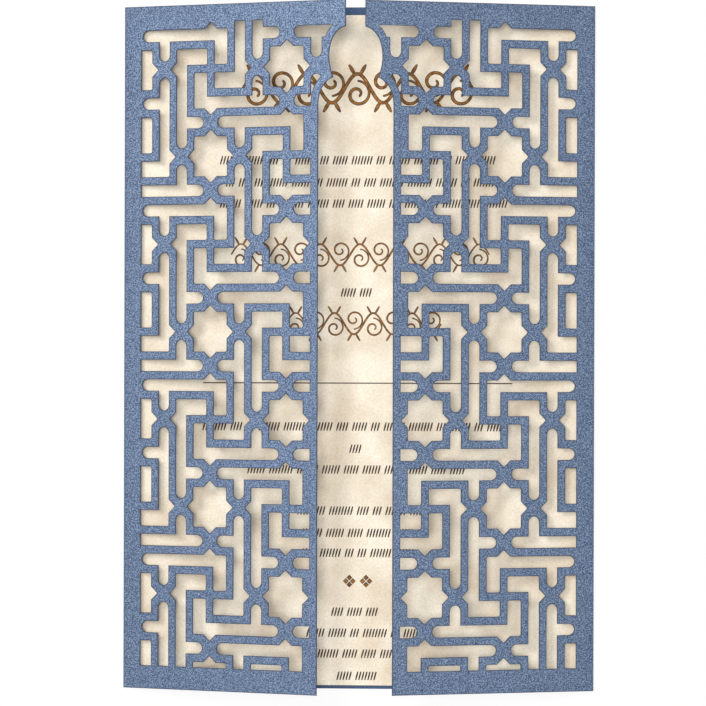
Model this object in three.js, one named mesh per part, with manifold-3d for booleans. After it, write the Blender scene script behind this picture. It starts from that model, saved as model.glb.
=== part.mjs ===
// Gatefold invitation jacket, lying open on its back, with the card that it holds.
// The jacket is one sheet of pearl card: a back panel and two gates, scored, folded
// and laser-cut with a lattice of eight-pointed stars and interlocking hooks.
// Millimetres. X runs across the panel, Y towards its top edge and Z up. The origin is
// under the middle of the back panel.

import * as THREE from 'three';
import { mergeVertices } from 'three/addons/utils/BufferGeometryUtils.js';
import Module from 'manifold-3d';

const wasm = await Module();
wasm.setup();

// Jacket sheet
const width = 127;
const height = 184;
const stock = 0.35;
const foldRadius = 0.55;
const foldSteps = 8;

// Gates: how far each has sprung open, and the arch that the closed pair leaves
const leftLift = 16.5;
const rightLift = 15.2;
const meetingGap = 0.2;
const archHalfWidth = 7.7;
const archWaist = 4.65;
const archCusp = 3.5;
const tabDepth = 7.1;
const waistDepth = 14.9;
const cuspDepth = 20.4;
const springDepth = 27.8;
const archSteps = 8;

// How far, towards the fold and down, each curve of the arch keeps its direction
const archHandles = {
  afterTab: [2.8, 0.5],
  beforeWaist: [0, -4.4],
  afterWaist: [0, 2],
  beforeCusp: [0.6, -1.5],
  afterCusp: [2.4, 1],
  beforeSpring: [0, -4.2],
};

// Plain borders round the lattice, from each edge of a gate
const foldBorder = 4.9;
const topBorder = 4.7;
const bottomBorder = 6.2;
const archBorder = 2.1;

// Lattice, across the gate and along the fold: half the distance between like stars,
// the card left between two cuts, and the width of a slot
const across = { pitch: 21.7, strap: 2.05, slot: 3.0 };
const along = { pitch: 23.5, strap: 2.2, slot: 3.1 };
const firstColumn = 3.35;
const firstRow = 17.2;
const point = 1.8;
const endLength = 1.7;
const endSteps = 6;
const cornerRound = 0.45;
const tipRound = 0.3;
const smallestCut = 2.5;

// Card that the jacket holds
const insertWidth = 122;
const insertHeight = 180.9;
const insertStock = 0.35;
const insertLift = 0.95;

// Sizes that follow from the ones above. A cutter runs past the card on both faces
const tabWidth = width / 2 - meetingGap;
const gateWidth = tabWidth - archHalfWidth;
const outerRadius = foldRadius + stock;
const cutterDepth = 3 * stock;

// Vertices nearer than this are one, and inset points must keep this share of the inset
const weldDistance = 1e-4;
const insetShare = 0.97;

const pearlBlue = new THREE.MeshStandardMaterial({ color: 0x7387a6, roughness: 0.42, metalness: 0.3 });
const cream = new THREE.MeshStandardMaterial({ color: 0xe6d9c6, roughness: 0.5, metalness: 0.05 });

// Closed mesh as a solid that can be cut
function toSolid(geometry) {
  const bare = geometry.clone();
  bare.deleteAttribute('normal');
  bare.deleteAttribute('uv');
  const merged = mergeVertices(bare, weldDistance);
  const vertProperties = new Float32Array(merged.attributes.position.array);
  const triVerts = new Uint32Array(merged.index.array);
  return new wasm.Manifold(new wasm.Mesh({ numProp: 3, vertProperties, triVerts }));
}

// Solid as a mesh with flat faces
function toGeometry(solid) {
  const mesh = solid.getMesh();
  const geometry = new THREE.BufferGeometry();
  geometry.setAttribute('position', new THREE.BufferAttribute(new Float32Array(mesh.vertProperties), 3));
  geometry.setIndex(Array.from(mesh.triVerts));
  geometry.computeVertexNormals();
  return geometry;
}

// Section of the folded sheet, seen along the folds: underside, round the right fold, out
// along the right gate and back inside it, across the panel, and the same on the left
function foldedSection() {
  const right = THREE.MathUtils.degToRad(rightLift);
  const left = THREE.MathUtils.degToRad(leftLift);
  const bendX = width / 2 - outerRadius;
  const section = new THREE.Shape();
  section.absarc(bendX, outerRadius, outerRadius, -Math.PI / 2, Math.PI / 2 - right, false);
  section.lineTo(...gatePoint(1, right, tabWidth, 0));
  section.lineTo(...gatePoint(1, right, tabWidth, stock));
  section.absarc(bendX, outerRadius, foldRadius, Math.PI / 2 - right, -Math.PI / 2, true);
  section.absarc(-bendX, outerRadius, foldRadius, -Math.PI / 2, -Math.PI * 1.5 + left, true);
  section.lineTo(...gatePoint(-1, left, tabWidth, stock));
  section.lineTo(...gatePoint(-1, left, tabWidth, 0));
  section.absarc(-bendX, outerRadius, outerRadius, -Math.PI * 1.5 + left, -Math.PI / 2, false);
  return section;
}

// Height at which the outer face of a gate, run on past its fold, meets the jacket's side
function gateRise(lift) {
  const tangent = outerRadius * (1 - Math.sin(lift)) / Math.cos(lift);
  return outerRadius * (1 + Math.cos(lift)) - tangent * Math.sin(lift);
}

// Place across and up of a point on a gate: u along the gate from its side, and how far
// under the outer face. The side is 1 for the right gate and -1 for the left one
function gatePoint(side, lift, u, under) {
  const x = width / 2 - u * Math.cos(lift) - under * Math.sin(lift);
  const z = gateRise(lift) + u * Math.sin(lift) - under * Math.cos(lift);
  return [side * x, z];
}

function foldedSheet() {
  const geometry = new THREE.ExtrudeGeometry(foldedSection(), {
    depth: height, bevelEnabled: false, curveSegments: foldSteps / 2,
  });
  geometry.rotateX(Math.PI / 2);
  geometry.translate(0, height / 2, 0);
  return toSolid(geometry);
}

// Inner edge of a gate, as (u from the fold side, depth from the top): down the tab,
// round the head of the arch to its waist, out to the cusp and down the shoulder
function archEdge() {
  const { afterTab, beforeWaist, afterWaist, beforeCusp, afterCusp, beforeSpring } = archHandles;
  const at = (gap, depth, [inward, down] = [0, 0]) => new THREE.Vector2(tabWidth - gap - inward, depth + down);
  const head = new THREE.CubicBezierCurve(
    at(0, tabDepth), at(0, tabDepth, afterTab),
    at(archWaist, waistDepth, beforeWaist), at(archWaist, waistDepth),
  );
  const waist = new THREE.CubicBezierCurve(
    at(archWaist, waistDepth), at(archWaist, waistDepth, afterWaist),
    at(archCusp, cuspDepth, beforeCusp), at(archCusp, cuspDepth),
  );
  const shoulder = new THREE.CubicBezierCurve(
    at(archCusp, cuspDepth), at(archCusp, cuspDepth, afterCusp),
    at(archHalfWidth, springDepth, beforeSpring), at(archHalfWidth, springDepth),
  );
  return [
    ...head.getPoints(archSteps),
    ...waist.getPoints(archSteps / 2).slice(1),
    ...shoulder.getPoints(archSteps).slice(1),
  ];
}

// The same edge moved into the card, without the points that would cross at the cusp
function insetEdge(edge, inset) {
  const moved = edge.map((here, i) => {
    const before = edge[Math.max(i - 1, 0)];
    const after = edge[Math.min(i + 1, edge.length - 1)];
    const run = after.clone().sub(before).normalize();
    return new THREE.Vector2(here.x - inset * run.y, here.y + inset * run.x);
  });
  return moved.filter((p) => edge.every((q) => p.distanceTo(q) > inset * insetShare));
}

// Region of a gate beyond its inner edge, which the cutter removes
function wasteOutline() {
  const beyond = tabWidth + archHalfWidth;
  return [
    new THREE.Vector2(beyond, tabDepth),
    ...archEdge(),
    new THREE.Vector2(gateWidth, height + archHalfWidth),
    new THREE.Vector2(beyond, height + archHalfWidth),
  ];
}

// Region of a gate that the lattice may fill
function windowOutline() {
  const edge = insetEdge(archEdge(), archBorder).filter((p) => p.y > topBorder);
  const top = edge[0];
  return [
    new THREE.Vector2(foldBorder, topBorder),
    new THREE.Vector2(top.x + (top.y - topBorder), topBorder),
    ...edge,
    new THREE.Vector2(gateWidth - archBorder, height - bottomBorder),
    new THREE.Vector2(foldBorder, height - bottomBorder),
  ];
}

// Lines of the lattice on one axis, measured from the middle of a star: the two sides of a
// slot, the half-size of the star, and how far a round end and a square leg reach
function latticeLines({ pitch, strap, slot }) {
  const inner = (pitch + strap) / 2;
  const outer = inner + slot;
  return {
    inner,
    outer,
    star: pitch - outer - strap,
    roundReach: pitch - strap,
    legStart: strap / 2,
    legReach: pitch - strap / 2,
  };
}

// Corner cut to a small chamfer, which stands for the laser's rounded turn
function eased(before, corner, after, size) {
  const towards = (other) => other.clone().sub(corner).setLength(size).add(corner);
  return [towards(before), towards(after)];
}

// Outline from a list of corners, each with its own easing
function easedOutline(corners) {
  const count = corners.length;
  return corners.flatMap(([x, y, size], i) => {
    const corner = new THREE.Vector2(x, y);
    if (!size) return [corner];
    const before = new THREE.Vector2(...corners[(i + count - 1) % count]);
    const after = new THREE.Vector2(...corners[(i + 1) % count]);
    return eased(before, corner, after, size);
  });
}

// Eight-pointed star: a square with a point in the middle of each side
function starOutline(a, b) {
  const quarter = [
    [a.star, b.star, cornerRound],
    [point, b.star, 0],
    [0, b.star + point, tipRound],
    [-point, b.star, 0],
  ];
  const half = [
    ...quarter,
    [-a.star, b.star, cornerRound],
    [-a.star, point, 0],
    [-a.star - point, 0, tipRound],
    [-a.star, -point, 0],
  ];
  return easedOutline([...half, ...half.map(([x, y, size]) => [-x, -y, size])]);
}

// Round end of a slot, as corners between its two sides
function roundEnd(middle, base, halfSlot, reach) {
  const corners = [];
  for (let step = 0; step <= endSteps; step += 1) {
    const angle = Math.PI * (step / endSteps - 0.5);
    corners.push([base + reach * Math.cos(angle), middle + halfSlot * Math.sin(angle), 0]);
  }
  return corners;
}

// Hook beside a star, in the axis a along its bar and the axis b across it: a bar with a
// notch for the star's point, a round far end, a round prong and a square leg
function hookOutline(a, b) {
  const slotA = (a.outer - a.inner) / 2;
  const slotB = (b.outer - b.inner) / 2;
  const barEnd = roundEnd(b.inner + slotB, a.roundReach - endLength, slotB, endLength);
  const prongEnd = roundEnd(a.inner + slotA, b.roundReach - endLength, slotA, endLength);
  return easedOutline([
    [-a.star, b.inner, cornerRound],
    [-point, b.inner, 0],
    [0, b.inner - point, tipRound],
    [point, b.inner, 0],
    ...barEnd,
    [a.outer, b.outer, 0],
    ...prongEnd.map(([y, x, size]) => [x, y, size]).reverse(),
    [a.inner, b.outer, 0],
    [-a.legStart, b.outer, 0],
    [-a.legStart, b.legReach, cornerRound],
    [-a.star, b.legReach, cornerRound],
  ]);
}

// The five cuts round one star, about its middle, as (across the gate, down from the top)
function starGroup() {
  const a = latticeLines(across);
  const b = latticeLines(along);
  const lying = hookOutline(a, b);
  const upright = hookOutline(b, a);
  const turned = (outline) => outline.map((p) => new THREE.Vector2(-p.x, -p.y));
  const below = lying.map((p) => new THREE.Vector2(-p.x, p.y));
  const beside = upright.map((p) => new THREE.Vector2(p.y, p.x));
  return [starOutline(a, b), below, turned(below), beside, turned(beside)];
}

// Outline on a gate as a solid right through the card, in that gate's own frame
function gateCutter(outline, side) {
  const corners = outline.map((p) => new THREE.Vector2(-side * p.x, height / 2 - p.y));
  const geometry = new THREE.ExtrudeGeometry(new THREE.Shape(corners), {
    depth: cutterDepth, bevelEnabled: false,
  });
  geometry.translate(0, 0, (-cutterDepth - stock) / 2);
  return toSolid(geometry);
}

// Everything that is cut from one gate
function gateCuts(side) {
  const groups = [];
  for (let column = 0; firstColumn + (column - 1) * across.pitch < tabWidth; column += 1) {
    const startRow = column % 2 === 0 ? 0 : -1;
    for (let row = startRow; firstRow + (row - 1) * along.pitch < height; row += 2) {
      groups.push([firstColumn + column * across.pitch, firstRow + row * along.pitch]);
    }
  }
  const cuts = groups.flatMap(([u, depth]) => starGroup().map((outline) => {
    const placed = outline.map((p) => new THREE.Vector2(p.x + u, p.y + depth));
    return gateCutter(placed, side);
  }));
  const lattice = wasm.Manifold.union(cuts).intersect(gateCutter(windowOutline(), side));
  const kept = lattice.decompose().filter((cut) => cut.volume() > smallestCut * cutterDepth);
  return wasm.Manifold.union([...kept, gateCutter(wasteOutline(), side)]);
}

// Moves a solid from a gate's own frame, with its outer face level, to the lifted gate
function onGate(solid, side, liftDegrees) {
  const lift = THREE.MathUtils.degToRad(liftDegrees);
  const frame = new THREE.Object3D();
  frame.position.set(side * width / 2, 0, gateRise(lift));
  frame.rotation.y = side * lift;
  frame.updateMatrix();
  return solid.transform(frame.matrix.toArray());
}

function makeJacket() {
  const sheet = foldedSheet()
    .subtract(onGate(gateCuts(-1), -1, leftLift))
    .subtract(onGate(gateCuts(1), 1, rightLift));
  const jacket = new THREE.Mesh(toGeometry(sheet), pearlBlue);
  jacket.name = 'jacket';
  return jacket;
}

// Card lying on the back panel, a little nearer to the bottom edge than to the top
function makeInsert() {
  const insert = new THREE.Mesh(new THREE.BoxGeometry(insertWidth, insertHeight, insertStock), cream);
  insert.position.set(0, (insertHeight - height) / 2 + insertLift, stock + insertStock / 2);
  insert.name = 'insert_card';
  return insert;
}

const model = new THREE.Group();
model.add(makeJacket(), makeInsert());

export default model;
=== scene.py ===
"""Gatefold invitation jacket, lying open on its back, seen from straight above.

The jacket is cut flat as one sheet, with the lattice of its gates, then folded to the lifts
that the frame has. Lengths are in millimetres up to the last step of each mesh.
"""

import math
import random

import bmesh
import bpy
from mathutils import Matrix, Vector
from mathutils.geometry import delaunay_2d_cdt


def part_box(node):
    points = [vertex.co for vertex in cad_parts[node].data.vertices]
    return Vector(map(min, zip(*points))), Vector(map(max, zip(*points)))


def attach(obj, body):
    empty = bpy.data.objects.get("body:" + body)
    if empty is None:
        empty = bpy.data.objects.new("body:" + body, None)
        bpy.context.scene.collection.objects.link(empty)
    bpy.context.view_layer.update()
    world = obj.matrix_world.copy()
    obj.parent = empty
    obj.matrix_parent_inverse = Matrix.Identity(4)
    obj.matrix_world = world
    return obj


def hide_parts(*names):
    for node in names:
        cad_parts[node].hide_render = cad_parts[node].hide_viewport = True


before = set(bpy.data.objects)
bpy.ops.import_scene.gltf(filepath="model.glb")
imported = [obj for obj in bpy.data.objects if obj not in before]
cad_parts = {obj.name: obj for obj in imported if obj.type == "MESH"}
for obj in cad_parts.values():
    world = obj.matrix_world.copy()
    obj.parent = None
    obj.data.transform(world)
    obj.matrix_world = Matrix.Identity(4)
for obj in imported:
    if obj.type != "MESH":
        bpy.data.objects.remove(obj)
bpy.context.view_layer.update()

MM = 0.001

# Jacket sheet, with the sizes of the frame
WIDTH = 127.0
HEIGHT = 184.0
STOCK = 0.35
FOLD_RADIUS = 0.55
LIFTS = {-1: 16.5, 1: 15.2}
MEETING_GAP = 0.2
ARCH_HALF_WIDTH = 7.7
ARCH_WAIST = 4.65
ARCH_CUSP = 3.5
TAB_DEPTH = 7.1
WAIST_DEPTH = 14.9
CUSP_DEPTH = 20.4
SPRING_DEPTH = 27.8
FOLD_BORDER = 4.9
TOP_BORDER = 4.7
BOTTOM_BORDER = 6.2
ARCH_BORDER = 2.1

# Lattice, across the gate and along the fold
ACROSS = {"pitch": 21.7, "strap": 2.05, "slot": 3.0}
ALONG = {"pitch": 23.5, "strap": 2.2, "slot": 3.1}
FIRST_COLUMN = 3.35
FIRST_ROW = 17.2
POINT = 1.8
END_LENGTH = 1.7
CORNER_ROUND = 0.5
TIP_ROUND = 0.35
SMALLEST_CUT = 2.5

# Handles of the arch's curves, as steps in gap and depth from the tab's foot and from the cusp
TAB_HANDLE = (2.8, 0.5)
ABOVE_CUSP = (0.6, 1.5)
BELOW_CUSP = (2.4, 1.0)

# Handles straight above or below a curve's end, as drops from the tab's foot, the waist and the cusp
HEAD_DROP = 3.4
WAIST_DROP = 2.0
SHOULDER_DROP = 3.2
INSET_SHARE = 0.97

# Fineness of the visible mesh
END_STEPS = 14
CORNER_STEPS = 4
ARCH_STEPS = 14
FOLD_STEPS = 14
RIM = 0.19
SMALLEST_EDGE = 0.02
STRAIGHT = 0.003
WELD = 0.0005
SHARPEST = 0.5
KEEP_INSIDE = 1

TAB_WIDTH = WIDTH / 2 - MEETING_GAP
GATE_WIDTH = TAB_WIDTH - ARCH_HALF_WIDTH
OUTER_RADIUS = FOLD_RADIUS + STOCK
BEND_X = WIDTH / 2 - OUTER_RADIUS

# Ticks on the insert card: each row is its y and its left and right ends
TICK_HEIGHT = 2.3
TICK_SPACING = 0.82
TICK_BREAK = 1.2
TICK_LEAN = 0.3
TICK_WIDTHS = (0.3, 0.46, 0.34)
TICKS_IN_GROUP = (3, 8)
TICK_SEED = 7
TICK_ROWS = (
    (15.0, -4.4, 3.4), (50.7, -37.2, 35.8), (44.7, -35.6, 34.4), (39.0, -37.2, 36.6),
    (-21.2, -41.8, 41.6), (-27.2, -2.0, 2.0), (-32.8, -29.6, 27.9), (-43.9, -16.0, 16.0),
    (-49.9, -15.0, 15.0), (-55.3, -15.0, 15.0), (-71.2, -6.8, 6.0), (-76.9, -13.5, 13.2),
    (-82.5, -10.5, 11.5), (-88.5, -5.3, 4.4),
)

# Running scrolls: width of the brown outline, place as in the rows, height, number of bends, thickness
SCROLLS = (
    (0.4, (70.1, -31.5, 30.6), 11.5, 9, 0.6),
    (0.25, (25.2, -34.5, 35.2), 8.4, 13, 0.3),
    (0.25, (6.6, -19.6, 22.3), 8.4, 8, 0.3),
)

# Parts of a scroll, as shares of its height, and stroke widths, as shares of its thickness
WAVE_REACH = 0.34
CURL_OFFSET = 0.14
CURL_START = 0.32
CURL_END = 0.05
CURL_TURNS = 1.4
LEAF_FOOT = 0.3
LEAF_GAP = 0.1
LEAF_SIZE = (0.3, 0.26)
WIDTHS = {"wave": (0.5, 1.0), "curl": (0.35, 0.9), "leaf": (0.15, 1.1)}
WAVE_STEPS = 24
CURL_STEPS = 40
LEAF_STEPS = 8

# Rule as y, left, right and width, and the two diamonds with the size and gap of their squares
RULE = (-9.46, -42.0, 41.5, 0.3)
DIAMONDS = ((-2.3, -62.9), (2.2, -62.9))
DIAMOND_BRONZE = (1.05, 0.83)
DIAMOND_BROWN = (1.6, 0.28)

# Heights of the print above the card, and of one layer of strokes above another
BROWN_LIFT = 0.02
BRONZE_LIFT = 0.04
LAYER = 0.004
INSERT_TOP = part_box("insert_card")[1].z / MM

# Camera: lens and sensor, place from the frame's origin, and turn in degrees
LENS = 151.3
SENSOR = 36.0
CAMERA_PLACE = (35.0, 0.4, 800.9)
CAMERA_TURN = (-0.12, 2.61, 0.16)

# Floor in metres, the share of it that the camera sees as white, and the strength of the surround
FLOOR_SIZE = 6.0
FLOOR_DROP = 0.00005
FLOOR_WHITE = 0.88
WORLD_LIGHT = 0.38


# Camera, as the photograph was taken

def make_camera():
    data = bpy.data.cameras.new("camera")
    data.lens = LENS
    data.sensor_width = SENSOR
    data.clip_start = 0.05
    camera = bpy.data.objects.new("camera", data)
    bpy.context.scene.collection.objects.link(camera)
    turn = Vector(CAMERA_TURN)
    place = Matrix.Translation(Vector(CAMERA_PLACE) * MM)
    camera.matrix_world = place @ Matrix.Rotation(math.radians(turn.length), 4, turn.normalized())
    bpy.context.scene.camera = camera


# Node helpers

def new_material(name):
    material = bpy.data.materials.new(name)
    material.use_nodes = True
    tree = material.node_tree
    return material, tree, tree.nodes["Principled BSDF"]


def add_node(tree, kind, inputs=None, **settings):
    node = tree.nodes.new(kind)
    for key, value in settings.items():
        setattr(node, key, value)
    for key, value in (inputs or {}).items():
        node.inputs[key].default_value = value
    return node


def noise(tree, place, scale, detail=2.0):
    node = add_node(tree, "ShaderNodeTexNoise", {"Scale": scale, "Detail": detail})
    tree.links.new(place.outputs["Object"], node.inputs["Vector"])
    return node


def ramp(tree, source, stops):
    node = add_node(tree, "ShaderNodeValToRGB")
    while len(node.color_ramp.elements) < len(stops):
        node.color_ramp.elements.new(0.5)
    for element, (position, color) in zip(node.color_ramp.elements, stops):
        element.position = position
        element.color = color
    tree.links.new(source, node.inputs["Fac"])
    return node


def mix(tree, factor, first, second, blend="MIX"):
    node = add_node(tree, "ShaderNodeMix", data_type="RGBA", blend_type=blend)
    for socket, value in ((node.inputs[0], factor), (node.inputs[6], first), (node.inputs[7], second)):
        if isinstance(value, bpy.types.NodeSocket):
            tree.links.new(value, socket)
        else:
            socket.default_value = value
    return node.outputs[2]


def srgb(red, green, blue):
    """Colour written in 0 to 255 steps, as the linear colour that a node wants."""
    def linear(step):
        share = step / 255
        return share / 12.92 if share <= 0.04045 else ((share + 0.055) / 1.055) ** 2.4
    return (linear(red), linear(green), linear(blue), 1.0)


def grey(value):
    return (value, value, value, 1.0)


# Materials

def pearl_card():
    """Steel-blue card with a fine metallic grain and bright flecks of mica."""
    material, tree, shader = new_material("pearl_card")
    place = add_node(tree, "ShaderNodeTexCoord")
    grain = noise(tree, place, 3600.0, 0.5)
    base = ramp(tree, grain.outputs["Fac"], [
        (0.35, srgb(58, 74, 102)), (0.5, srgb(87, 105, 133)), (0.65, srgb(127, 145, 171)),
    ])
    cloud = noise(tree, place, 60.0, 3.0)
    cloudy = ramp(tree, cloud.outputs["Fac"], [(0.3, grey(0.93)), (0.7, grey(1.0))])
    color = mix(tree, 1.0, base.outputs["Color"], cloudy.outputs["Color"], "MULTIPLY")
    fleck = add_node(tree, "ShaderNodeTexVoronoi", {"Scale": 2400.0})
    tree.links.new(place.outputs["Object"], fleck.inputs["Vector"])
    bright = ramp(tree, fleck.outputs["Color"], [(0.965, grey(0.0)), (0.99, grey(0.5))])
    color = mix(tree, bright.outputs["Color"], color, srgb(196, 208, 226))
    tree.links.new(color, shader.inputs["Base Color"])
    rough = ramp(tree, grain.outputs["Fac"], [(0.3, grey(0.55)), (0.7, grey(0.42))])
    tree.links.new(rough.outputs["Color"], shader.inputs["Roughness"])
    bump = add_node(tree, "ShaderNodeBump", {"Strength": 0.25, "Distance": 0.00004})
    tree.links.new(grain.outputs["Fac"], bump.inputs["Height"])
    tree.links.new(bump.outputs["Normal"], shader.inputs["Normal"])
    shader.inputs["Metallic"].default_value = 0.35
    shader.inputs["Specular IOR Level"].default_value = 0.3
    return material


def cut_edge():
    """Dark navy on the walls that the laser cut, and on a thin band of the upper face along every cut."""
    material, tree, shader = new_material("cut_edge")
    place = add_node(tree, "ShaderNodeTexCoord")
    grain = noise(tree, place, 1800.0)
    base = ramp(tree, grain.outputs["Fac"], [(0.3, srgb(38, 48, 70)), (0.7, srgb(66, 80, 108))])
    tree.links.new(base.outputs["Color"], shader.inputs["Base Color"])
    shader.inputs["Roughness"].default_value = 0.7
    return material


def inside_card_painted_shade():
    """The jacket's inner side: the same blue, matt, and deeper as painted shade for the shadow on the back
    panel around the insert.
    """
    material, tree, shader = new_material("inside_card_painted_shade")
    place = add_node(tree, "ShaderNodeTexCoord")
    grain = noise(tree, place, 3300.0, 1.0)
    # Deeper blue than the face: painted shade, not the card's own colour
    base = ramp(tree, grain.outputs["Fac"], [(0.36, srgb(48, 68, 96)), (0.64, srgb(74, 96, 128))])
    tree.links.new(base.outputs["Color"], shader.inputs["Base Color"])
    shader.inputs["Roughness"].default_value = 0.7
    shader.inputs["Specular IOR Level"].default_value = 0.2
    return material


def cream_card():
    """Cream card with a soft shimmer and a faint mottle."""
    material, tree, shader = new_material("cream_card")
    place = add_node(tree, "ShaderNodeTexCoord")
    grain = noise(tree, place, 2200.0, 3.0)
    base = ramp(tree, grain.outputs["Fac"], [
        (0.3, srgb(230, 219, 198)), (0.5, srgb(239, 229, 210)), (0.7, srgb(246, 238, 221)),
    ])
    cloud = noise(tree, place, 75.0, 2.0)
    cloudy = ramp(tree, cloud.outputs["Fac"], [(0.35, srgb(236, 229, 222)), (0.62, grey(1.0))])
    color = mix(tree, 1.0, base.outputs["Color"], cloudy.outputs["Color"], "MULTIPLY")
    tree.links.new(color, shader.inputs["Base Color"])
    bump = add_node(tree, "ShaderNodeBump", {"Strength": 0.2, "Distance": 0.00003})
    tree.links.new(grain.outputs["Fac"], bump.inputs["Height"])
    tree.links.new(bump.outputs["Normal"], shader.inputs["Normal"])
    shader.inputs["Roughness"].default_value = 0.5
    shader.inputs["Specular IOR Level"].default_value = 0.35
    return material


def ink(name, dark, light):
    """Print: a matt ink with a little unevenness."""
    material, tree, shader = new_material(name)
    place = add_node(tree, "ShaderNodeTexCoord")
    grain = noise(tree, place, 900.0)
    base = ramp(tree, grain.outputs["Fac"], [(0.35, srgb(*dark)), (0.65, srgb(*light))])
    tree.links.new(base.outputs["Color"], shader.inputs["Base Color"])
    shader.inputs["Roughness"].default_value = 0.6
    shader.inputs["Specular IOR Level"].default_value = 0.2
    return material


# Outlines on a gate: u across from the fold side, depth down from the top edge

def bezier(first, second, third, fourth, steps):
    points = []
    for step in range(steps + 1):
        t = step / steps
        s = 1 - t
        points.append(first * s ** 3 + second * 3 * s * s * t + third * 3 * s * t * t + fourth * t ** 3)
    return points


def arch_edge():
    """Inner edge of a gate: the tab, the head of the arch to its waist, the cusp, the shoulder."""
    def at(gap, depth):
        return Vector((TAB_WIDTH - gap, depth))

    tab_gap, tab_drop = TAB_HANDLE
    above_gap, above_rise = ABOVE_CUSP
    below_gap, below_drop = BELOW_CUSP
    head = bezier(at(0, TAB_DEPTH), at(tab_gap, TAB_DEPTH + tab_drop),
                  at(ARCH_WAIST, TAB_DEPTH + HEAD_DROP), at(ARCH_WAIST, WAIST_DEPTH), ARCH_STEPS)
    waist = bezier(at(ARCH_WAIST, WAIST_DEPTH), at(ARCH_WAIST, WAIST_DEPTH + WAIST_DROP),
                   at(ARCH_CUSP + above_gap, CUSP_DEPTH - above_rise), at(ARCH_CUSP, CUSP_DEPTH),
                   ARCH_STEPS // 2)
    shoulder = bezier(at(ARCH_CUSP, CUSP_DEPTH), at(ARCH_CUSP + below_gap, CUSP_DEPTH + below_drop),
                      at(ARCH_HALF_WIDTH, CUSP_DEPTH + SHOULDER_DROP),
                      at(ARCH_HALF_WIDTH, SPRING_DEPTH), ARCH_STEPS)
    return head + waist[1:] + shoulder[1:]


def inset_edge(edge, inset):
    """The edge moved into the card, without the points that would cross at the cusp."""
    moved = []
    for i, here in enumerate(edge):
        run = (edge[min(i + 1, len(edge) - 1)] - edge[max(i - 1, 0)]).normalized()
        point = Vector((here.x - inset * run.y, here.y + inset * run.x))
        if all((point - other).length > inset * INSET_SHARE for other in edge):
            moved.append(point)
    return moved


def gate_outline():
    """The gate from its fold side, where it overlaps the end of the bend, to its inner edge."""
    return arch_edge() + [Vector((GATE_WIDTH, HEIGHT)), Vector((0, HEIGHT)), Vector((0, 0)),
                          Vector((TAB_WIDTH, 0))]


def window_outline():
    """The part of a gate that the lattice cuts: all but its borders."""
    edge = [p for p in inset_edge(arch_edge(), ARCH_BORDER) if p.y > TOP_BORDER]
    top = edge[0]
    return [Vector((FOLD_BORDER, TOP_BORDER)), Vector((top.x + top.y - TOP_BORDER, TOP_BORDER)), *edge,
            Vector((GATE_WIDTH - ARCH_BORDER, HEIGHT - BOTTOM_BORDER)),
            Vector((FOLD_BORDER, HEIGHT - BOTTOM_BORDER))]


def lattice_lines(pitch, strap, slot):
    inner = (pitch + strap) / 2
    outer = inner + slot
    return {"inner": inner, "outer": outer, "star": pitch - outer - strap, "round_reach": pitch - strap,
            "leg_start": strap / 2, "leg_reach": pitch - strap / 2}


def rounded(corners):
    """Outline from (x, y, radius) corners, each turned by a short curve."""
    outline = []
    count = len(corners)
    for i, (x, y, size) in enumerate(corners):
        corner = Vector((x, y))
        if not size:
            outline.append(corner)
            continue
        before = Vector(corners[i - 1][:2])
        after = Vector(corners[(i + 1) % count][:2])
        start = corner + (before - corner).normalized() * size
        end = corner + (after - corner).normalized() * size
        for step in range(CORNER_STEPS + 1):
            t = step / CORNER_STEPS
            outline.append(start * (1 - t) ** 2 + corner * 2 * t * (1 - t) + end * t * t)
    return outline


def star_outline(a, b):
    half = [
        (a["star"], b["star"], CORNER_ROUND), (POINT, b["star"], 0), (0, b["star"] + POINT, TIP_ROUND),
        (-POINT, b["star"], 0), (-a["star"], b["star"], CORNER_ROUND), (-a["star"], POINT, 0),
        (-a["star"] - POINT, 0, TIP_ROUND), (-a["star"], -POINT, 0),
    ]
    return rounded(half + [(-x, -y, size) for x, y, size in half])


def round_end(middle, base, half_slot, reach):
    corners = []
    for step in range(END_STEPS + 1):
        angle = math.pi * (step / END_STEPS - 0.5)
        corners.append((base + reach * math.cos(angle), middle + half_slot * math.sin(angle), 0))
    return corners


def hook_outline(a, b):
    """Hook beside a star, in the axis a along its bar and the axis b across it."""
    slot_a = (a["outer"] - a["inner"]) / 2
    slot_b = (b["outer"] - b["inner"]) / 2
    bar_end = round_end(b["inner"] + slot_b, a["round_reach"] - END_LENGTH, slot_b, END_LENGTH)
    prong_end = round_end(a["inner"] + slot_a, b["round_reach"] - END_LENGTH, slot_a, END_LENGTH)
    return rounded([
        (-a["star"], b["inner"], CORNER_ROUND), (-POINT, b["inner"], 0), (0, b["inner"] - POINT, TIP_ROUND),
        (POINT, b["inner"], 0), *bar_end, (a["outer"], b["outer"], 0),
        *[(x, y, size) for y, x, size in reversed(prong_end)],
        (a["inner"], b["outer"], 0), (-a["leg_start"], b["outer"], 0),
        (-a["leg_start"], b["leg_reach"], CORNER_ROUND), (-a["star"], b["leg_reach"], CORNER_ROUND),
    ])


def star_group():
    a = lattice_lines(**ACROSS)
    b = lattice_lines(**ALONG)
    below = [Vector((-p.x, p.y)) for p in hook_outline(a, b)]
    beside = [Vector((p.y, p.x)) for p in hook_outline(b, a)]
    turned = [[-p for p in outline] for outline in (below, beside)]
    return [star_outline(a, b), below, beside, *turned]


def lattice_outlines():
    outlines = []
    column = 0
    while FIRST_COLUMN + (column - 1) * ACROSS["pitch"] < TAB_WIDTH:
        row = 0 if column % 2 == 0 else -1
        while FIRST_ROW + (row - 1) * ALONG["pitch"] < HEIGHT:
            middle = Vector((FIRST_COLUMN + column * ACROSS["pitch"], FIRST_ROW + row * ALONG["pitch"]))
            outlines += [[p + middle for p in outline] for outline in star_group()]
            row += 2
        column += 1
    return outlines


# The sheet, cut flat and folded

def bend_length(side):
    return OUTER_RADIUS * (math.pi - math.radians(LIFTS[side]))


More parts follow.
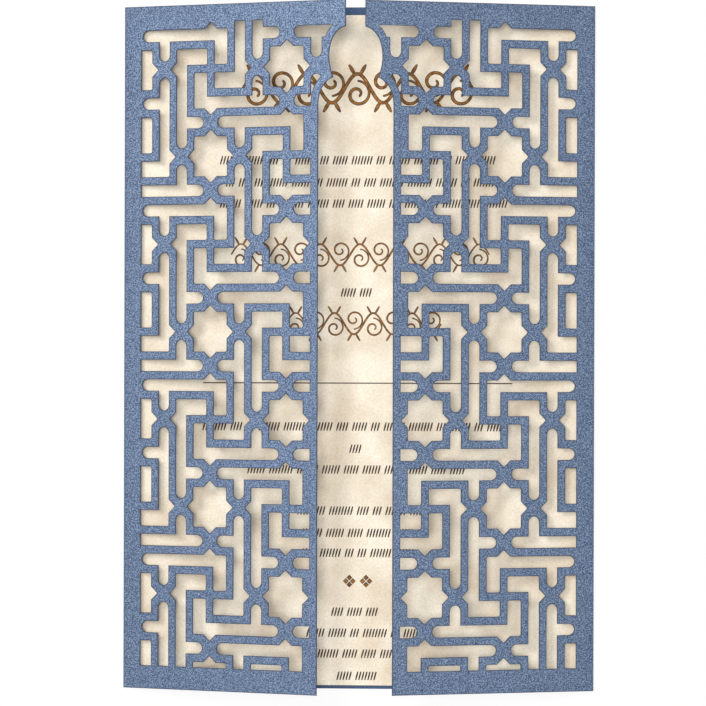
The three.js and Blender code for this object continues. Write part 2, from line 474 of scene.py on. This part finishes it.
def gate_start(side):
    """The u at which a gate leaves its bend."""
    lift = math.radians(LIFTS[side])
    return OUTER_RADIUS * (1 - math.sin(lift)) / math.cos(lift)


def to_sheet(side, point):
    """Place on the flat sheet of a point on a gate."""
    along = BEND_X + bend_length(side) + point.x - gate_start(side)
    return Vector((side * along, HEIGHT / 2 - point.y))


def fold(flat):
    """Place in the row frame of a point on the flat sheet's outer face."""
    side = 1 if flat.x > 0 else -1
    lift = math.radians(LIFTS[side])
    run = abs(flat.x) - BEND_X
    if run <= 0:
        return Vector((flat.x, flat.y, 0.0))
    angle = min(run / OUTER_RADIUS, math.pi - lift)
    normal = Vector((side * math.sin(angle), 0, -math.cos(angle)))
    place = Vector((side * BEND_X, flat.y, OUTER_RADIUS)) + normal * OUTER_RADIUS
    beyond = run - bend_length(side)
    if beyond > 0:
        place += Vector((-side * math.cos(lift), 0, math.sin(lift))) * beyond
    return place


class Pattern:
    """Outlines on the flat sheet, cut into triangles that know which outlines they lie in."""

    def __init__(self):
        self.points = []
        self.edges = []
        self.faces = []
        self.kinds = []

    def area(self, outline, kind):
        if sum(outline[i - 1].cross(p) for i, p in enumerate(outline)) < 0:
            outline = outline[::-1]
        self.faces.append(list(range(len(self.points), len(self.points) + len(outline))))
        self.points.extend(outline)
        self.kinds.append(kind)

    def line(self, start, end):
        self.edges.append((len(self.points), len(self.points) + 1))
        self.points.extend([start, end])

    def triangles(self):
        places, _, faces, _, _, outlines = delaunay_2d_cdt(
            self.points, self.edges, self.faces, KEEP_INSIDE, WELD, True)
        return places, list(zip(faces, outlines))


def cut_pattern():
    """The sheet with the lattice and the arch cut out of its gates, as coarse triangles."""
    pattern = Pattern()
    half = HEIGHT / 2
    for side in (-1, 1):
        strip_end = BEND_X + bend_length(side)
        corners = ((0, -half), (strip_end, -half), (strip_end, half), (0, half))
        pattern.area([Vector((side * x, y)) for x, y in corners], "card")
        pattern.area([to_sheet(side, p) for p in gate_outline()], "card")
        pattern.area([to_sheet(side, p) for p in window_outline()], "window")
        for outline in lattice_outlines():
            pattern.area([to_sheet(side, p) for p in outline], "cut")
    places, found = pattern.triangles()
    kinds = pattern.kinds
    size = {}
    for (a, b, c), inside in found:
        if any(kinds[o] == "window" for o in inside):
            area = abs((places[b] - places[a]).cross(places[c] - places[a])) / 2
            for o in inside:
                size[o] = size.get(o, 0) + area
    kept = []
    for triangle, inside in found:
        names = {kinds[o] for o in inside}
        is_cut = "window" in names and any(kinds[o] == "cut" and size[o] > SMALLEST_CUT for o in inside)
        if "card" in names and not is_cut:
            kept.append(triangle)
    return places, kept


def cut_lines(places, triangles):
    """Edges of the cut sheet as closed lines that keep the card on their left."""
    sides = {(t[i], t[(i + 1) % 3]) for t in triangles for i in range(3)}
    following = {start: end for start, end in sides if (end, start) not in sides}
    lines = []
    while following:
        start, here = following.popitem()
        line = [places[start]]
        while here != start:
            line.append(places[here])
            here = following.pop(here)
        lines.append(cleaned(line))
    return [line for line in lines if len(line) > 3]


def cleaned(line):
    """The line without points that nearly meet or that lie on a straight run."""
    spaced = []
    for point in line:
        if not spaced or (point - spaced[-1]).length > SMALLEST_EDGE:
            spaced.append(point)
    if (spaced[0] - spaced[-1]).length <= SMALLEST_EDGE:
        spaced.pop()
    kept = []
    for i, point in enumerate(spaced):
        run = (spaced[(i + 1) % len(spaced)] - spaced[i - 1]).normalized()
        if abs(run.cross(point - spaced[i - 1])) > STRAIGHT:
            kept.append(point)
    return kept


def moved_in(line, distance):
    """The line moved to its left, into the card, by a distance."""
    moved = []
    for i, point in enumerate(line):
        before = (point - line[i - 1]).normalized()
        after = (line[(i + 1) % len(line)] - point).normalized()
        left = Vector((-before.y - after.y, before.x + after.x))
        moved.append(point + left * distance / max(1 + before.dot(after), SHARPEST))
    return moved


def flat_sheet():
    """Triangles of the finished flat sheet, each with True where it is part of a cut's dark rim."""
    pattern = Pattern()
    for line in cut_lines(*cut_pattern()):
        is_sheet = sum(line[i - 1].cross(p) for i, p in enumerate(line)) > 0
        pattern.area(line, "sheet" if is_sheet else "hole")
        pattern.area(moved_in(line, RIM), "face" if is_sheet else "rim")
    half = HEIGHT / 2
    for side in (-1, 1):
        for step in range(FOLD_STEPS + 1):
            x = side * (BEND_X + bend_length(side) * step / FOLD_STEPS)
            pattern.line(Vector((x, -half)), Vector((x, half)))
    places, found = pattern.triangles()
    kept = []
    for triangle, inside in found:
        names = {pattern.kinds[o] for o in inside}
        if "sheet" in names and "hole" not in names:
            kept.append((triangle, "face" not in names or "rim" in names))
    return places, kept


def make_jacket(face, edge, inside):
    places, triangles = flat_sheet()
    bm = bmesh.new()
    verts = [bm.verts.new(fold(place) * MM) for place in places]
    for triangle, is_rim in triangles:
        made = bm.faces.new([verts[i] for i in reversed(triangle)])
        made.material_index = 1 if is_rim else 0
        middle = sum(abs(places[i].x) for i in triangle) / 3
        made.smooth = middle > BEND_X
    loose = [v for v in bm.verts if not v.link_faces]
    bmesh.ops.delete(bm, geom=loose, context="VERTS")
    mesh = bpy.data.meshes.new("jacket_sheet")
    bm.to_mesh(mesh)
    bm.free()
    piece = bpy.data.objects.new("jacket_sheet", mesh)
    bpy.context.scene.collection.objects.link(piece)
    for material in (face, edge, inside):
        mesh.materials.append(material)
    thick = piece.modifiers.new("stock", "SOLIDIFY")
    thick.thickness = STOCK * MM
    thick.offset = -1
    thick.use_rim = True
    thick.material_offset_rim = 1
    # The inner faces take the third material, the blue darkened as painted shade.
    thick.material_offset = 2
    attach(piece, "root")
    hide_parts("jacket")


# Print on the card: x and y from the middle of the frame, on the card's upper face

class Print:
    """Flat shapes of one ink, gathered into one mesh a hair above the card."""

    def __init__(self, name, material, lift):
        self.name = name
        self.material = material
        self.height = INSERT_TOP + lift
        self.points = []
        self.faces = []

    def shape(self, outline, layer=0):
        height = self.height + layer * LAYER
        self.faces.append(list(range(len(self.points), len(self.points) + len(outline))))
        self.points += [(x * MM, y * MM, height * MM) for x, y in outline]

    def stroke(self, line, widths, layer=0):
        """Ribbon along a line, with a width at each of its points."""
        left, right = [], []
        for i, here in enumerate(line):
            run = (line[min(i + 1, len(line) - 1)] - line[max(i - 1, 0)]).normalized()
            across = Vector((-run.y, run.x)) * widths[i] / 2
            left.append(here + across)
            right.append(here - across)
        for i in range(len(line) - 1):
            self.shape([right[i], right[i + 1], left[i + 1], left[i]], layer)

    def make(self):
        mesh = bpy.data.meshes.new(self.name)
        mesh.from_pydata(self.points, [], self.faces)
        mesh.update()
        mesh.materials.append(self.material)
        piece = bpy.data.objects.new(self.name, mesh)
        bpy.context.scene.collection.objects.link(piece)
        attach(piece, "root")


def tick_rows(prints):
    """Rows of equal slanted ticks in groups, where the card's printed lines are."""
    rng = random.Random(TICK_SEED)
    for y, left, right in TICK_ROWS:
        x = left
        while x < right:
            for _ in range(rng.randint(*TICKS_IN_GROUP)):
                foot = Vector((x - TICK_LEAN, y - TICK_HEIGHT / 2))
                head = Vector((x + TICK_LEAN, y + TICK_HEIGHT / 2))
                prints.stroke([foot, foot.lerp(head, 0.5), head], TICK_WIDTHS)
                x += TICK_SPACING
            x += TICK_SPACING * TICK_BREAK


def spiral(centre, start_radius, end_radius, start_angle, turns):
    line = []
    for step in range(CURL_STEPS + 1):
        t = step / CURL_STEPS
        radius = start_radius + (end_radius - start_radius) * t
        angle = start_angle + turns * 2 * math.pi * t
        line.append(Vector(centre) + Vector((math.cos(angle), math.sin(angle))) * radius)
    return line


def swelling(count, thin, thick):
    return [thin + (thick - thin) * math.sin(math.pi * i / (count - 1)) for i in range(count)]


def scroll_band(prints, extra, place, height, count, thick):
    """Running scroll: a wave with a curl in each bend and leaves on each crest.

    Every stroke is wider by extra, so that a scroll in brown outlines the same one in bronze.
    """
    def widths(line, name):
        thin, widest = WIDTHS[name]
        return [width + extra for width in swelling(len(line), thin * thick, widest * thick)]

    y, left, right = place
    length = right - left
    steps = count * WAVE_STEPS
    wave = []
    for step in range(steps + 1):
        t = step / steps
        wave.append(Vector((left + length * t, y + height * WAVE_REACH * math.sin(math.pi * count * t))))
    prints.stroke(wave, widths(wave, "wave"))
    for i in range(count):
        up = 1 if i % 2 == 0 else -1
        middle = left + length * (i + 0.5) / count
        curl = spiral((middle, y - up * height * CURL_OFFSET), height * CURL_START, height * CURL_END,
                      up * math.pi / 2, -up * CURL_TURNS)
        prints.stroke(curl, widths(curl, "curl"), 1)
        for lean in (-0.5, 0.5):
            foot = Vector((middle + lean * height * LEAF_GAP, y + up * height * LEAF_FOOT))
            tip = foot + Vector((lean * height * LEAF_SIZE[0], up * height * LEAF_SIZE[1]))
            leaf = [foot.lerp(tip, t / LEAF_STEPS) for t in range(LEAF_STEPS + 1)]
            prints.stroke(leaf, widths(leaf, "leaf"), 2)


def diamonds(prints, x, y, size, gap):
    """Four small squares on their corners, set as one larger diamond."""
    half = size / 2
    reach = (size + gap) / 2
    for dx, dy in ((0, reach), (reach, 0), (0, -reach), (-reach, 0)):
        cx, cy = x + dx, y + dy
        prints.shape([(cx + half, cy), (cx, cy + half), (cx - half, cy), (cx, cy - half)])


def make_print():
    bronze = ink("bronze_foil", (102, 64, 16), (165, 108, 40))
    brown = ink("brown_ink", (50, 40, 32), (72, 58, 46))
    foil = Print("bronze_print", bronze, BRONZE_LIFT)
    lines = Print("brown_print", brown, BROWN_LIFT)
    for outline, place, height, count, thick in SCROLLS:
        scroll_band(foil, 0.0, place, height, count, thick)
        scroll_band(lines, outline, place, height, count, thick)
    for x, y in DIAMONDS:
        diamonds(foil, x, y, *DIAMOND_BRONZE)
        diamonds(lines, x, y, *DIAMOND_BROWN)
    foil.make()
    tick_rows(lines)
    y, left, right, thick = RULE
    lines.stroke([Vector((left, y)), Vector((0, y)), Vector((right, y))], [thick] * 3)
    lines.make()


# Floor and light

def seen_by_camera(tree, share):
    """A share for rays from the camera, and for those that metal or glass turned; else nothing."""
    path = add_node(tree, "ShaderNodeLightPath")
    total = path.outputs["Is Camera Ray"]
    for name in ("Is Glossy Ray", "Is Transmission Ray"):
        sum_node = add_node(tree, "ShaderNodeMath", operation="ADD", use_clamp=True)
        tree.links.new(total, sum_node.inputs[0])
        tree.links.new(path.outputs[name], sum_node.inputs[1])
        total = sum_node.outputs[0]
    scaled = add_node(tree, "ShaderNodeMath", operation="MULTIPLY")
    scaled.inputs[1].default_value = share
    tree.links.new(total, scaled.inputs[0])
    return scaled.outputs[0]


def make_floor():
    material, tree, shader = new_material("white_floor")
    shader.inputs["Base Color"].default_value = grey(0.9)
    shader.inputs["Roughness"].default_value = 0.9
    glow = add_node(tree, "ShaderNodeEmission", {"Color": grey(1.0), "Strength": 1.0})
    blend = add_node(tree, "ShaderNodeMixShader")
    tree.links.new(seen_by_camera(tree, FLOOR_WHITE), blend.inputs[0])
    tree.links.new(shader.outputs[0], blend.inputs[1])
    tree.links.new(glow.outputs[0], blend.inputs[2])
    tree.links.new(blend.outputs[0], tree.nodes["Material Output"].inputs["Surface"])
    bpy.ops.mesh.primitive_plane_add(size=FLOOR_SIZE, location=(0, 0, -FLOOR_DROP))
    floor = bpy.context.object
    floor.name = "floor"
    floor.data.materials.append(material)


def area_light(name, place, size, power, color=(1, 1, 1)):
    data = bpy.data.lights.new(name, "AREA")
    data.shape = "DISK"
    data.size = size
    data.energy = power
    data.color = color
    light = bpy.data.objects.new(name, data)
    bpy.context.scene.collection.objects.link(light)
    light.location = place
    light.rotation_euler = (-Vector(place)).to_track_quat("-Z", "Y").to_euler()


def make_light():
    """A soft lamp from the upper left, a warmer one overhead and a white surround."""
    world = bpy.data.worlds.new("studio")
    bpy.context.scene.world = world
    world.use_nodes = True
    tree = world.node_tree
    background = tree.nodes["Background"]
    background.inputs["Color"].default_value = grey(1.0)
    strength = add_node(tree, "ShaderNodeMath", operation="ADD")
    strength.inputs[1].default_value = WORLD_LIGHT
    tree.links.new(seen_by_camera(tree, 1.0 - WORLD_LIGHT), strength.inputs[0])
    tree.links.new(strength.outputs[0], background.inputs["Strength"])
    area_light("key", (-0.36, 0.28, 0.85), size=0.32, power=3.7)
    area_light("overhead", (-0.04, 0.04, 1.3), size=0.38, power=8.8, color=(1.0, 0.97, 0.93))


make_camera()
make_floor()
make_light()
make_jacket(pearl_card(), cut_edge(), inside_card_painted_shade())
cream = cream_card()
for material_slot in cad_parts["insert_card"].material_slots:
    material_slot.material = cream
make_print()

bpy.context.scene.view_settings.view_transform = "Standard"
